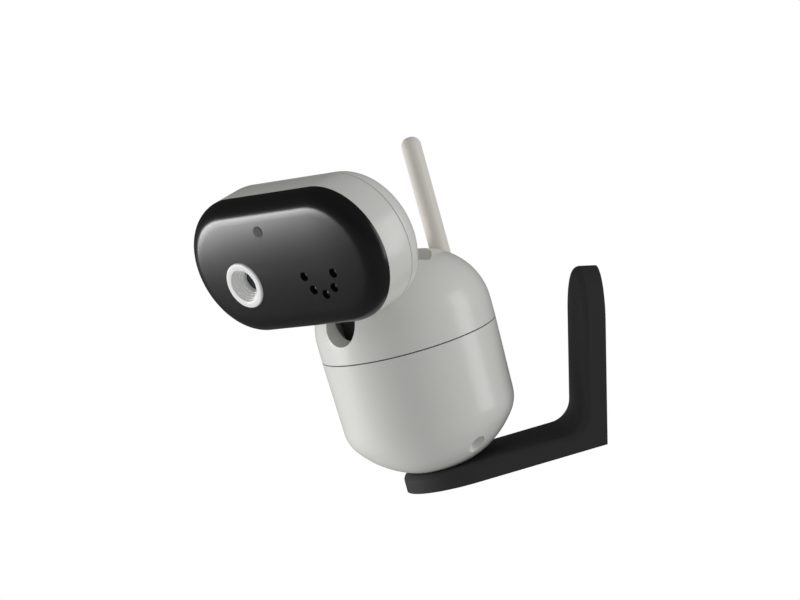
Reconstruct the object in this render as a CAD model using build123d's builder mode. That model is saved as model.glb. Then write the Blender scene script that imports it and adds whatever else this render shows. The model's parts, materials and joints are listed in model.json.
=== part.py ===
from build123d import *
from math import acos, atan2, cos, pi, radians, sin, tan
import os

# Baby monitor camera on its wall bracket.
# The row frame has its origin at the middle of the two wall screws, on the wall face of the
# bracket. +Z is up, the wall is the plane Y = 0 and the bracket reaches out along -Y.
# The camera is drawn upright in a frame of its own, with its front to -Y and its axis on Z,
# measured from the flat top of the bracket's arm. One place per moving group sets it on the arm.

# ---------------------------------------------------------------- driving sizes, millimetres
# wall bracket
bracket_width = 39.5
plate_thickness = 9.4
plate_height = 69.5
arm_thickness = 7.4
arm_length = 81.0
arm_slope = 14.0
tip_rounding = 27.0
top_rounding = 20.0
inner_fillet = 10.0
edge_fillet = 3.0
bracket_wall = 2.2
screw_height = 39.0
screw_spacing = 30.0
screw_hole = 2.1
screw_head = 4.2
boss_radius = 6.0
boss_web = 8.0
cap_radius = 5.0
cap_thickness = 1.2
cap_fit = 0.05
axis_reach = 64.0

# dish, magnet and cover in the arm
dish_depth = 2.4
dish_gap = 0.3
pad_inner = 6.0
pad_outer = 10.5
pad_thickness = 0.8
magnet_radius = 9.0
magnet_thickness = 1.9
magnet_cover = 1.6
magnet_boss = 4.0
cover_thickness = 1.5
cover_gap = 0.15
cover_start = 20.0

# camera body
body_radius = 36.0
seam_height = 53.0
seam_gap = 0.5
wall = 2.2
ball_radius = body_radius + 4.0
ball_corner = 14.0
side_draft = 1.5
dome_height = 34.7
dome_radius = 64.0
dome_corner = 26.0

# power inlet at the back of the base
inlet_reach = body_radius - 9.5
groove_radius = 3.6
groove_top = 12.0
inlet_wall = 1.6
socket_radius = 3.1
socket_bore = 1.9
socket_depth = 4.6
socket_pin = 0.6

# pair button on the side of the base
button_radius = 3.5
button_proud = 0.8
button_travel = 0.9
button_height = 22.4
button_gap = 0.08
button_stem = 1.5
button_back = body_radius - 6.3
switch_reach = body_radius - 10.8
switch_length = 4.4

# boards and drive in the base
board_height = 18.0
board_thickness = 1.6
board_radius = body_radius - 7.5
post_radius = 2.6
post_circle = body_radius - 14.5
screw_shank = 1.0
screw_cap = 2.0
screw_cap_height = 1.2
seat_disc_radius = 12.4
seat_disc_height = 2.3
seat_disc_thickness = 1.5
seat_rim = 2.5
deck_height = 44.0
deck_thickness = 2.0
deck_gap = 0.25
deck_boss = 3.2
deck_circle = body_radius - 5.6
spindle_radius = 8.0
spindle_bore = 5.0
turn_fit = 0.06
washer_thickness = 1.0
hub_radius = 11.0
pan_module = 0.8
pan_gear_teeth = 40
pan_pinion_teeth = 10
gear_thickness = 3.0
gear_slack = 0.22
gear_lift = 0.4
pan_motor_radius = 9.5
pan_motor_length = 14.0
speaker_radius = 13.5
speaker_magnet = 8.0
speaker_place = (-15.0, 0.0)
motor_shaft = 1.0
shaft_fit = 0.05

# head
head_width = 104.0
head_height = 55.6
head_depth = 23.0
head_corner = 10.0
bezel_depth = 8.0
bezel_corner = 7.5
head_wall = 2.2
parting = 13.0
parting_gap = 0.2
lip_depth = 3.0
lip_wall = 1.2
head_tilt = 6.9
head_clearance = 1.6
head_back_reach = 25.5

# what the head carries
lens_x = -22.8
lens_z = -5.8
ring_radius = 9.5
ring_proud = 0.6
ring_mouth = 6.7
ring_throat = 4.3
ring_depth = 5.0
ring_foot = 1.4
barrel_wall = 0.6
glass_sag = 1.3
glass_body = 1.6
led_x = 20.4
led_z = -5.2
led_circle = 8.2
led_radius = 1.95
led_count = 5
window_x = -4.2
window_z = 15.0
window_radius = 2.3
trim_fit = 0.1
camera_board_place = 6.0
camera_board_thickness = 1.4

# tilt drive
tilt_reach = 8.0
tilt_height = 62.0
axle_radius = 1.5
axle_fit = 0.06
neck_play = 1.6
neck_hub = 4.0
neck_end = 6.0
neck_sink = 2.0
neck_drop = 12.4
sector_width = 3.0
tilt_module = 0.6
sector_teeth = 40
tilt_pinion_teeth = 10
sector_from = 80.0
sector_to = 148.0
pinion_angle = 130.0
tilt_motor_radius = 5.0
tilt_motor_length = 9.0
cheek_gap = 1.7
cheek_thickness = 2.0

# opening in the dome
slot_width = 16.6
slot_bottom = 60.6
slot_back = 3.0
lining = 1.6
lining_depth = 7.5
recess_reach = 9.0
recess_radius = body_radius - 11.5
recess_floor = 71.5
swing_radius = 23.4
baffle_top = recess_floor - 2.0

# antenna
antenna_reach = body_radius - 6.0
antenna_radius = 4.05
antenna_top = 128.6
antenna_pivot = 66.0
knuckle_radius = antenna_radius + 0.25
knuckle_width = 2 * antenna_radius - 0.3
yoke_gap = 0.55
yoke_wall = 1.6
pin_radius = 1.0
pin_fit = 0.06

# how the camera stands on the bracket
base_turn = -60.0
pan_turn = 39.5

# ---------------------------------------------------------------- sizes that follow
slope = radians(arm_slope)
neck_width = slot_width - neck_play
head_reach = head_back_reach + head_depth
head_up = recess_floor + head_clearance + head_height / 2
neck_reach = head_back_reach + neck_sink
neck_up = head_up - neck_drop
arm_out = Vector(0, -cos(slope), -sin(slope))
arm_up = Vector(0, -sin(slope), cos(slope))
corner = Vector(0, 0, -screw_height)
seat_point = corner + arm_out * axis_reach + arm_up * arm_thickness
arm_plane = Plane(origin=seat_point, x_dir=(1, 0, 0), z_dir=arm_up)
seat = Location(arm_plane)
on_base = seat * Location((0, 0, 0), (0, 0, base_turn))
on_upper = seat * Location((0, 0, 0), (0, 0, pan_turn))
head_place = Location((0, -head_reach, head_up), (head_tilt, 0, 0))
on_head = on_upper * head_place

ball_centre = ball_radius + dish_gap - dish_depth
dish_radius = ball_radius + dish_gap
seam_low = seam_height - seam_gap / 2
seam_high = seam_height + seam_gap / 2
deck_top = deck_height + deck_thickness
board_top = board_height + board_thickness
hub_foot = deck_top + washer_thickness + turn_fit
turntable_top = seam_high + 1.75
gear_foot = hub_foot + gear_lift
pan_gear_pitch = pan_module * pan_gear_teeth / 2
pan_pinion_pitch = pan_module * pan_pinion_teeth / 2
pan_centres = pan_gear_pitch + pan_pinion_pitch
pan_mesh = (pan_turn - base_turn) * pan_gear_teeth / pan_pinion_teeth
sector_pitch = tilt_module * sector_teeth / 2
tilt_pinion_pitch = tilt_module * tilt_pinion_teeth / 2
tilt_centres = sector_pitch + tilt_pinion_pitch
cheek_inner = neck_width / 2 + cheek_gap
cheek_outer = cheek_inner + cheek_thickness
pinion_y = -tilt_reach - tilt_centres * cos(radians(pinion_angle))
pinion_z = tilt_height + tilt_centres * sin(radians(pinion_angle))
led_angles = [180 + 180 * i / (led_count - 1) for i in range(led_count)]

os.makedirs("parts", exist_ok=True)


# ---------------------------------------------------------------- shared outlines
def involute(angle):
    """Involute function of a pressure angle in radians."""
    return tan(angle) - angle


def tooth_face(teeth, module, slack):
    """One spur tooth on the +X axis, with involute flanks and its foot sunk in the blank."""
    pitch = module * teeth / 2
    base = pitch * cos(radians(20))
    tip = pitch + 0.9 * module
    foot = pitch - 1.25 * module
    half = pi / 2 / teeth - slack / 2 / pitch + involute(radians(20))
    flank = []
    for step in range(5):
        radius = max(base, foot) + (tip - max(base, foot)) * step / 4
        turn = half - involute(acos(base / radius))
        flank.append((radius * cos(turn), radius * sin(turn)))
    inner = foot - 0.3
    root = atan2(flank[0][1], flank[0][0])
    flank.insert(0, (inner * cos(root), inner * sin(root)))
    with BuildSketch() as tooth:
        with BuildLine():
            Polyline(*flank, *[(x, -y) for x, y in reversed(flank)], close=True)
        make_face()
    return tooth.sketch


def gear_face(teeth, module, slack):
    """Whole spur gear outline with a tooth on the +X axis."""
    tooth = tooth_face(teeth, module, slack)
    with BuildSketch(mode=Mode.PRIVATE) as face:
        Circle(module * teeth / 2 - 1.25 * module)
        with PolarLocations(0, teeth):
            add(tooth)
    return face.sketch


def base_section(inset, top):
    """Half section of the base body: a ball bottom, a rounded corner and a drafted side."""
    foot = body_radius - inset - (seam_height + 20) * tan(radians(side_draft))
    brim = body_radius - inset - (seam_height - top) * tan(radians(side_draft))
    with BuildSketch(Plane.XZ) as section:
        with Locations((0, ball_centre)):
            Circle(ball_radius - inset)
        with BuildLine():
            Polyline((0, -20), (foot, -20), (brim, top), (0, top), close=True)
        make_face(mode=Mode.INTERSECT)
        fillet(section.vertices().group_by(Axis.Y)[1], ball_corner - inset)
    return section.sketch


def dome_section(inset, bottom):
    """Half section of the upper body: an upright side, a wide corner and a flat dome."""
    centre = seam_height + dome_height - dome_radius
    with BuildSketch(Plane.XZ) as section:
        with Locations((0, centre)):
            Circle(dome_radius - inset)
        with BuildLine():
            Polyline((0, bottom), (body_radius - inset, bottom), (body_radius - inset, 200),
                     (0, 200), close=True)
        make_face(mode=Mode.INTERSECT)
        fillet(section.vertices().group_by(Axis.Y)[1], dome_corner - inset)
    return section.sketch


# ---------------------------------------------------------------- wall bracket
tip_plane = Plane(origin=corner, x_dir=(1, 0, 0), z_dir=arm_up)
plate_plane = Plane(origin=corner, x_dir=(1, 0, 0), z_dir=(0, -1, 0))


def bracket_profile(inset):
    """Side view of the bracket, an L whose arm slopes down; the inset leaves walls in front."""
    with BuildSketch(Plane.YZ) as side:
        with BuildLine():
            out = arm_out * (arm_length + 1)
            up = arm_up * (arm_thickness - inset)
            face = -(plate_thickness - inset)
            knee = up.Z - (up.Y - face) * tan(slope)
            Polyline((0, corner.Z), (0, corner.Z + plate_height + 1), (face, corner.Z + plate_height + 1),
                     (face, corner.Z + knee), (out.Y + up.Y, corner.Z + out.Z + up.Z),
                     (out.Y, corner.Z + out.Z), close=True)
        make_face()
        inner = side.vertices().sort_by_distance((face, corner.Z + knee))[0]
        fillet(inner, inner_fillet + inset)
    return side.sketch


def bracket_ends(inset):
    """Rounded ends as two sketches: the arm seen along its normal, the plate from the front."""
    half = bracket_width / 2 - inset
    with BuildSketch(tip_plane) as plan:
        Rectangle(2 * half, 2 * (arm_length - tip_rounding))
        with Locations((0, -(arm_length - tip_rounding))):
            Ellipse(half, tip_rounding - inset)
    with BuildSketch(plate_plane) as front:
        with Locations((0, (plate_height - top_rounding) / 2 - 60)):
            Rectangle(2 * half, plate_height - top_rounding + 120)
        with Locations((0, plate_height - top_rounding)):
            Ellipse(half, top_rounding - inset)
    return plan.sketch, front.sketch


with BuildPart() as bracket_solid:
    extrude(bracket_profile(0), amount=bracket_width, both=True)
    for outline in bracket_ends(0):
        extrude(outline, amount=150, both=True, mode=Mode.INTERSECT)
    front_edges = bracket_solid.edges().filter_by(
        lambda e: abs(e.center().Y + plate_thickness) < 0.05 and e.center().Z > corner.Z + 16)
    top_edges = bracket_solid.edges().filter_by(
        lambda e: abs((e.center() - seat_point).dot(arm_up)) < 0.05)
    knee_edges = bracket_solid.edges().filter_by(
        lambda e: abs(abs(e.center().X) - bracket_width / 2) < 0.01 and
        e.center().Y < -plate_thickness - 0.5 and e.center().Y > -40 and
        (e.center() - seat_point).dot(arm_up) > 0.05)
    fillet(front_edges + top_edges + knee_edges, edge_fillet)

with BuildPart() as bracket_void:
    extrude(bracket_profile(bracket_wall), amount=bracket_width, both=True)
    for outline in bracket_ends(bracket_wall):
        extrude(outline, amount=150, both=True, mode=Mode.INTERSECT)

magnet_top = -dish_depth - magnet_cover
cover_seat = -arm_thickness + cover_thickness

with BuildPart() as bracket_shell:
    add(bracket_solid.part)
    add(bracket_void.part, mode=Mode.SUBTRACT)
    # bosses for the two wall screws and the web between them, all level with the wall face
    with BuildSketch(Plane.XZ):
        with Locations((0, screw_spacing / 2), (0, -screw_spacing / 2)):
            Circle(boss_radius)
        Rectangle(bracket_width - bracket_wall, boss_web)
    extrude(amount=plate_thickness - bracket_wall / 2)
    # solid seat under the dish, which holds the magnet
    with BuildSketch(arm_plane.offset(cover_seat)):
        Circle(magnet_radius + magnet_boss)
    extrude(amount=-cover_seat - 0.8)
    with BuildSketch(Plane.XZ):
        with Locations((0, screw_spacing / 2), (0, -screw_spacing / 2)):
            Circle(screw_hole)
    extrude(amount=plate_thickness + 5, mode=Mode.SUBTRACT)
    for height in (screw_spacing / 2, -screw_spacing / 2):
        with Locations(Location((0, cap_thickness + cap_fit - plate_thickness, height), (90, 0, 0))):
            CounterSinkHole(screw_hole, screw_head, plate_thickness)
    with BuildSketch(Plane.XZ.offset(plate_thickness - cap_thickness - cap_fit)):
        with Locations((0, screw_spacing / 2), (0, -screw_spacing / 2)):
            Circle(cap_radius)
    extrude(amount=plate_thickness, mode=Mode.SUBTRACT)
    # dish for the camera's round bottom
    with Locations(Location(seat_point + arm_up * (dish_radius - dish_depth))):
        Sphere(dish_radius, mode=Mode.SUBTRACT)
    with BuildSketch(arm_plane.offset(magnet_top - magnet_thickness)):
        Circle(magnet_radius)
    extrude(amount=magnet_thickness, mode=Mode.SUBTRACT)


with BuildPart() as screw_caps:
    # flush caps pressed in over the wall screws
    with BuildSketch(Plane.XZ.offset(plate_thickness - cap_thickness)):
        with Locations((0, screw_spacing / 2), (0, -screw_spacing / 2)):
            Circle(cap_radius - cap_fit)
    extrude(amount=cap_thickness)

with BuildPart() as arm_cover:
    # closes the underside of the arm, flush, inside the arm's side walls
    cover_half = bracket_width / 2 - bracket_wall - cover_gap
    cover_end = arm_length - tip_rounding
    with BuildSketch(arm_plane.offset(-arm_thickness)):
        with Locations((0, axis_reach - (cover_start + cover_end) / 2)):
            Rectangle(2 * cover_half, cover_end - cover_start)
        with Locations((0, axis_reach - cover_end)):
            Ellipse(cover_half, tip_rounding - bracket_wall - cover_gap)
    extrude(amount=cover_thickness - 0.02)

with BuildPart() as bracket_magnet:
    with BuildSketch(arm_plane.offset(magnet_top - magnet_thickness)):
        Circle(magnet_radius - 0.1)
    extrude(amount=magnet_thickness - 0.05)
    chamfer(bracket_magnet.edges(), 0.25)

with BuildPart() as dish_pad:
    # rubber ring let into the dish
    with Locations(Location((0, 0, dish_radius - dish_depth))):
        Sphere(dish_radius + pad_thickness)
        Sphere(dish_radius, mode=Mode.SUBTRACT)
    with BuildSketch(Plane.XY.offset(-dish_depth - 5)):
        Circle(pad_outer)
        Circle(pad_inner, mode=Mode.SUBTRACT)
    extrude(amount=10, mode=Mode.INTERSECT)
dish_pad.part.move(seat)

with BuildPart() as grooved_shell:
    add(bracket_shell.part)
    add(dish_pad.part, mode=Mode.SUBTRACT)
bracket_shell.part = grooved_shell.part

# ---------------------------------------------------------------- base, in the camera's frame
groove_centre = (0, inlet_reach)
post_spots = [(post_circle * cos(radians(a)), post_circle * sin(radians(a))) for a in (30, 150, 270)]
deck_spots = [(deck_circle * cos(radians(a)), deck_circle * sin(radians(a))) for a in (90, 210, 330)]

with BuildPart() as base_outer:
    revolve(base_section(0, seam_low), axis=Axis.Z)

with BuildPart() as base_inserts:
    # board posts, deck bosses, the pocket round the power inlet and the rim under the steel disc
    with BuildSketch(Plane.XY):
        with Locations(*post_spots):
            Circle(post_radius)
    extrude(amount=board_height)
    with BuildSketch(Plane.XY.offset(25)):
        with Locations(*deck_spots):
            Circle(deck_boss)
    extrude(amount=deck_height - 25)
    with BuildSketch(Plane.XY.offset(-5)):
        with Locations(groove_centre):
            Circle(groove_radius + inlet_wall)
    extrude(amount=groove_top + inlet_wall + 5)
    with BuildSketch(Plane.XY.offset(-3)):
        Circle(seat_disc_radius)
        Circle(seat_disc_radius - seat_rim, mode=Mode.SUBTRACT)
    extrude(amount=3 + seat_disc_height - 0.1)
    add(base_outer.part, mode=Mode.INTERSECT)

with BuildPart() as base_shell:
    add(base_outer.part)
    revolve(base_section(wall, seam_height + 5), axis=Axis.Z, mode=Mode.SUBTRACT)
    add(base_inserts.part)
    with BuildSketch(Plane.XY.offset(-5)):
        with Locations(groove_centre):
            Circle(groove_radius)
    extrude(amount=groove_top + 5, mode=Mode.SUBTRACT)
    with BuildSketch(Plane.XY.offset(groove_top - 1)):
        with Locations(groove_centre):
            Circle(socket_radius)
    extrude(amount=5, mode=Mode.SUBTRACT)
    with BuildSketch(Plane.XY.offset(board_height - 6)):
        with Locations(*post_spots):
            Circle(screw_shank)
    extrude(amount=8, mode=Mode.SUBTRACT)
    with BuildSketch(Plane.XY.offset(deck_height - 8)):
        with Locations(*deck_spots):
            Circle(screw_shank)
    extrude(amount=9, mode=Mode.SUBTRACT)
    with BuildSketch(Plane.YZ.offset(-body_radius - 3)):
        with Locations((0, button_height)):
            Circle(button_radius + button_gap)
    extrude(amount=10, mode=Mode.SUBTRACT)

with BuildPart() as seat_disc:
    with BuildSketch(Plane.XY.offset(seat_disc_height)):
        Circle(seat_disc_radius)
        Circle(seat_rim, mode=Mode.SUBTRACT)
    extrude(amount=seat_disc_thickness)

with BuildPart() as main_board:
    with BuildSketch(Plane.XY.offset(board_height)):
        Circle(board_radius)
        with Locations(*post_spots):
            Circle(screw_shank, mode=Mode.SUBTRACT)
    extrude(amount=board_thickness)

with BuildPart() as board_screws:
    with BuildSketch(Plane.XY.offset(board_top)):
        with Locations(*post_spots):
            Circle(screw_cap)
    extrude(amount=screw_cap_height)
    with BuildSketch(Plane.XY.offset(board_height - 5)):
        with Locations(*post_spots):
            Circle(screw_shank)
    extrude(amount=board_thickness + 5)

with BuildPart() as power_socket:
    with BuildSketch(Plane.XY.offset(groove_top)):
        with Locations(groove_centre):
            Circle(socket_radius)
    extrude(amount=board_height - groove_top)
    with BuildSketch(Plane.XY.offset(groove_top)):
        with Locations(groove_centre):
            Circle(socket_bore)
            Circle(socket_pin, mode=Mode.SUBTRACT)
    extrude(amount=socket_depth, mode=Mode.SUBTRACT)

with BuildPart() as shield_can:
    with BuildSketch(Plane.XY.offset(board_top)):
        with Locations((5, -9)):
            RectangleRounded(17, 14, 1)
    extrude(amount=2.4)
    fillet(shield_can.faces().sort_by(Axis.Z)[-1].edges(), 0.4)

with BuildPart() as board_capacitors:
    with BuildSketch(Plane.XY.offset(board_top)):
        with Locations((-5, 13), (4, 13)):
            Circle(3.1)
    extrude(amount=8)
    chamfer(board_capacitors.edges().group_by(Axis.Z)[-1], 0.4)

with BuildPart() as pair_switch:
    # side-push switch on the board, with its plunger towards the button
    with BuildSketch(Plane.XY.offset(board_top)):
        with Locations((-switch_reach, 0)):
            Rectangle(switch_length, 6)
    extrude(amount=4.8)
    with BuildSketch(Plane.YZ.offset(-switch_reach - switch_length / 2)):
        with Locations((0, button_height)):
            Circle(0.8 * button_stem)
    extrude(amount=-(button_back - button_travel - switch_reach - switch_length / 2))

with BuildPart() as pair_button:
    # stem towards the switch, then the round key, which stands a little proud
    with BuildSketch(Plane.YZ.offset(-button_back - 0.1)):
        with Locations((0, button_height)):
            Circle(button_stem)
    extrude(amount=-button_travel - button_stem)
    with BuildSketch(Plane.YZ.offset(-button_back - 2)):
        with Locations((0, button_height)):
            Circle(button_radius)
    extrude(amount=-(body_radius + button_proud - button_back - 2))
    fillet(pair_button.faces().sort_by(Axis.X)[0].edges(), 0.5)

with BuildPart() as base_deck:
    with BuildSketch(Plane.XY.offset(deck_height)):
        Circle(body_radius - wall - deck_gap - 0.5)
        with Locations(*deck_spots):
            Circle(screw_shank, mode=Mode.SUBTRACT)
    extrude(amount=deck_thickness)
    with BuildSketch(Plane.XY.offset(deck_height)):
        Circle(spindle_radius)
    extrude(amount=seam_high + 1.3 - deck_height)
    with BuildSketch(Plane.XY.offset(deck_height)):
        Circle(spindle_bore)
        with Locations((pan_centres, 0)):
            Circle(2 * motor_shaft)
    extrude(amount=40, mode=Mode.SUBTRACT)

with BuildPart() as deck_screws:
    with BuildSketch(Plane.XY.offset(deck_top)):
        with Locations(*deck_spots):
            Circle(screw_cap)
    extrude(amount=screw_cap_height)
    with BuildSketch(Plane.XY.offset(deck_height - 6)):
        with Locations(*deck_spots):
            Circle(screw_shank)
    extrude(amount=deck_thickness + 6)

with BuildPart() as thrust_washer:
    with BuildSketch(Plane.XY.offset(deck_top)):
        Circle(hub_radius + 0.6)
        Circle(spindle_radius + 0.1, mode=Mode.SUBTRACT)
    extrude(amount=washer_thickness)

with BuildPart() as pan_motor:
    with BuildSketch(Plane.XY.offset(deck_height - pan_motor_length)):
        with Locations((pan_centres, 0)):
            Circle(pan_motor_radius)
    extrude(amount=pan_motor_length)
    chamfer(pan_motor.edges(), 0.5)
    with BuildSketch(Plane.XY.offset(deck_height)):
        with Locations((pan_centres, 0)):
            Circle(motor_shaft)
    extrude(amount=gear_foot + gear_thickness - deck_height)

with BuildPart() as speaker:
    # frame, magnet and cone of a small loudspeaker under the deck
    with BuildSketch(Plane.XY.offset(deck_height - 2)):
        with Locations(speaker_place):
            Circle(speaker_radius)
    extrude(amount=2)
    with BuildSketch(Plane.XY.offset(deck_height - 5.5)):
        with Locations(speaker_place):
            Circle(speaker_magnet)
    extrude(amount=3.5)
    chamfer(speaker.edges().group_by(Axis.Z)[0], 0.6)

# ---------------------------------------------------------------- pan drive and turntable
with BuildPart() as pan_pinion:
    with BuildSketch(Plane(origin=(pan_centres, 0, gear_foot))):
        with Locations(Rotation(0, 0, 180 / pan_pinion_teeth - pan_mesh)):
            add(gear_face(pan_pinion_teeth, pan_module, gear_slack))
        Circle(motor_shaft + shaft_fit, mode=Mode.SUBTRACT)
    extrude(amount=gear_thickness)

with BuildPart() as pan_gear:
    with BuildSketch(Plane.XY.offset(gear_foot)):
        add(gear_face(pan_gear_teeth, pan_module, gear_slack))
        Circle(hub_radius, mode=Mode.SUBTRACT)
    extrude(amount=gear_thickness)

turn_spots = [(deck_circle * cos(radians(a)), deck_circle * sin(radians(a)))
              for a in (25, 155, 205, 335)]
with BuildPart() as turntable:
    with BuildSketch(Plane.XY.offset(seam_high)):
        Circle(body_radius - wall - deck_gap)
    extrude(amount=turntable_top - seam_high)
    with BuildSketch(Plane.XY.offset(hub_foot)):
        Circle(hub_radius)
    extrude(amount=seam_high - hub_foot)
    with BuildSketch(Plane.XY.offset(hub_foot)):
        Circle(spindle_radius + turn_fit)
    extrude(amount=20, mode=Mode.SUBTRACT)
    with BuildSketch(Plane.XY.offset(seam_high)):
        with Locations(*turn_spots):
            Circle(screw_shank)
    extrude(amount=5, mode=Mode.SUBTRACT)

with BuildPart() as turntable_screws:
    with BuildSketch(Plane.XY.offset(seam_high - 1.2)):
        with Locations(*turn_spots):
            Circle(screw_cap)
    extrude(amount=screw_cap_height)
    with BuildSketch(Plane.XY.offset(seam_high)):
        with Locations(*turn_spots):
            Circle(screw_shank)
    extrude(amount=turntable_top - seam_high + 6)

# ---------------------------------------------------------------- dome
with BuildPart() as head_solid:
    with BuildSketch(Plane.XZ):
        SlotOverall(head_width, head_height)
    extrude(amount=-head_depth)
    fillet(head_solid.faces().sort_by(Axis.Y)[-1].edges(), head_corner)


def swing_recess(grow):
    """Room in the top of the dome for the back of the head, grown to leave a skin under it."""
    with BuildPart(mode=Mode.PRIVATE) as room:
        with BuildSketch(Plane.XY.offset(recess_floor - grow)):
            with Locations((0, -recess_reach)):
                Circle(recess_radius + grow)
        extrude(amount=60)
        with Locations(Location((0, -tilt_reach, tilt_height), (0, 90, 0))):
            Cylinder(swing_radius - grow, 120, mode=Mode.SUBTRACT)
    return room.part


slot_centre = slot_bottom + slot_width / 2
turn_boss_top = turntable_top + 10
with BuildPart() as dome_outer:
    revolve(dome_section(0, seam_high), axis=Axis.Z)
    add(swing_recess(0), mode=Mode.SUBTRACT)

with BuildPart() as dome_void:
    revolve(dome_section(wall, seam_high - 5), axis=Axis.Z)
    add(swing_recess(wall), mode=Mode.SUBTRACT)

with BuildPart() as dome_inserts:
    # lining of the front slot and the bosses for the turntable screws
    with BuildSketch(Plane.XZ.offset(body_radius - lining_depth)):
        with Locations((0, slot_centre)):
            Circle(slot_width / 2 + lining)
        with Locations((0, (slot_centre + recess_floor) / 2)):
            Rectangle(slot_width + 2 * lining, recess_floor - slot_centre)
    extrude(amount=lining_depth + 5)
    with BuildSketch(Plane.XY.offset(turntable_top)):
        with Locations(*turn_spots):
            Circle(deck_boss)
    extrude(amount=turn_boss_top - turntable_top)
    add(dome_outer.part, mode=Mode.INTERSECT)

yoke_half = knuckle_width / 2 + yoke_gap + yoke_wall
yoke_in = antenna_reach - antenna_radius - yoke_gap - yoke_wall
yoke_floor = antenna_pivot - knuckle_radius - yoke_gap - yoke_wall
with BuildPart() as antenna_yoke:
    # tray let into the back of the dome, which carries the antenna's pin
    with BuildSketch(Plane.XY.offset(yoke_floor)):
        with Locations((0, (yoke_in + body_radius) / 2)):
            Rectangle(2 * yoke_half, body_radius - yoke_in)
    extrude(amount=40)
    add(dome_outer.part, mode=Mode.INTERSECT)
    with BuildSketch(Plane.XY.offset(yoke_floor + yoke_wall)):
        with Locations((0, yoke_in + yoke_wall + 20)):
            Rectangle(2 * (yoke_half - yoke_wall), 40)
    extrude(amount=60, mode=Mode.SUBTRACT)
    with BuildSketch(Plane.YZ):
        with Locations((antenna_reach, antenna_pivot)):
            Circle(pin_radius)
    extrude(amount=20, both=True, mode=Mode.SUBTRACT)

with BuildPart() as upper_shell:
    add(dome_outer.part)
    add(dome_void.part, mode=Mode.SUBTRACT)
    add(dome_inserts.part)
    # slot for the neck, up the front and over into the recess
    with BuildSketch(Plane.XZ.offset(body_radius - lining_depth - 8)):
        with Locations((0, slot_centre)):
            Circle(slot_width / 2)
        with Locations((0, slot_centre + 20)):
            Rectangle(slot_width, 40)
    extrude(amount=40, mode=Mode.SUBTRACT)
    with BuildSketch(Plane.XY.offset(slot_centre)):
        with Locations((0, slot_back - 20)):
            Rectangle(slot_width, 40)
    extrude(amount=40, mode=Mode.SUBTRACT)
    # opening for the antenna's tray
    with BuildSketch(Plane.XY.offset(yoke_floor)):
        with Locations((0, yoke_in + 20)):
            Rectangle(2 * yoke_half, 40)
    extrude(amount=60, mode=Mode.SUBTRACT)
    with BuildSketch(Plane.XY.offset(seam_high - 1)):
        with Locations(*turn_spots):
            Circle(screw_shank)
    extrude(amount=turntable_top - seam_high + 8, mode=Mode.SUBTRACT)


# ---------------------------------------------------------------- antenna
with BuildPart() as antenna:
    with BuildSketch(Plane.XY.offset(antenna_pivot)):
        with Locations((0, antenna_reach)):
            Circle(antenna_radius)
    extrude(amount=antenna_top - antenna_pivot)
    fillet(antenna.edges().group_by(Axis.Z)[-1], antenna_radius - 0.4)
    with BuildSketch(Plane.YZ):
        with Locations((antenna_reach, antenna_pivot)):
            Circle(knuckle_radius)
    extrude(amount=knuckle_width / 2, both=True)
    with BuildSketch(Plane.XY.offset(antenna_pivot - 10)):
        with Locations((0, antenna_reach)):
            Rectangle(knuckle_width, 30)
    extrude(amount=200, mode=Mode.INTERSECT)
    with BuildSketch(Plane.YZ):
        with Locations((antenna_reach, antenna_pivot)):
            Circle(pin_radius + pin_fit)
    extrude(amount=20, both=True, mode=Mode.SUBTRACT)

with BuildPart() as antenna_pin:
    with BuildSketch(Plane.YZ):
        with Locations((antenna_reach, antenna_pivot)):
            Circle(pin_radius)
    extrude(amount=yoke_half - 0.2, both=True)

# ---------------------------------------------------------------- tilt drive in the dome
axle_spot = (-tilt_reach, tilt_height)
pinion_spot = (pinion_y, pinion_z)
cheek_low = turntable_top + 1.6
with BuildPart() as tilt_cradle:
    with BuildSketch(Plane.XY.offset(turntable_top)):
        with Locations((0, -tilt_reach)):
            Rectangle(2 * cheek_outer + 10, 22)
    extrude(amount=cheek_low - turntable_top)
    with BuildSketch(Plane.YZ.offset(cheek_inner)):
        with Locations(axle_spot):
            Circle(4.6)
        with Locations(pinion_spot):
            Circle(5.4)
        with Locations((-tilt_reach, cheek_low - 0.5)):
            Rectangle(20, 1)
        make_hull()
    extrude(amount=cheek_thickness)
    with BuildSketch(Plane.YZ.offset(-cheek_outer)):
        with Locations(axle_spot):
            Circle(4.6)
        with Locations((-tilt_reach, cheek_low - 0.5)):
            Rectangle(20, 1)
        make_hull()
    extrude(amount=cheek_thickness)
    with BuildSketch(Plane.YZ):
        with Locations(axle_spot):
            Circle(axle_radius + 1.2)
    extrude(amount=30, both=True, mode=Mode.SUBTRACT)
    with BuildSketch(Plane.YZ):
        with Locations(pinion_spot):
            Circle(1.4)
    extrude(amount=30, mode=Mode.SUBTRACT)
    with BuildSketch(Plane.XY.offset(turntable_top - 1)):
        Circle(spindle_radius + 0.5)
        with Locations((cheek_outer + 2.5, -tilt_reach), (-cheek_outer - 2.5, -tilt_reach)):
            Circle(screw_shank)
    extrude(amount=cheek_low - turntable_top + 2, mode=Mode.SUBTRACT)

with BuildPart() as cradle_screws:
    with BuildSketch(Plane.XY.offset(cheek_low)):
        with Locations((cheek_outer + 2.5, -tilt_reach), (-cheek_outer - 2.5, -tilt_reach)):
            Circle(1.8 * screw_shank)
    extrude(amount=1.1)
    with BuildSketch(Plane.XY.offset(turntable_top)):
        with Locations((cheek_outer + 2.5, -tilt_reach), (-cheek_outer - 2.5, -tilt_reach)):
            Circle(screw_shank)
    extrude(amount=cheek_low - turntable_top)

with BuildPart() as axle_bushes:
    with BuildSketch(Plane.YZ.offset(cheek_inner)):
        with Locations(axle_spot):
            Circle(axle_radius + 1.2)
            Circle(axle_radius + axle_fit, mode=Mode.SUBTRACT)
    extrude(amount=cheek_thickness)
    mirror(about=Plane.YZ)

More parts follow.
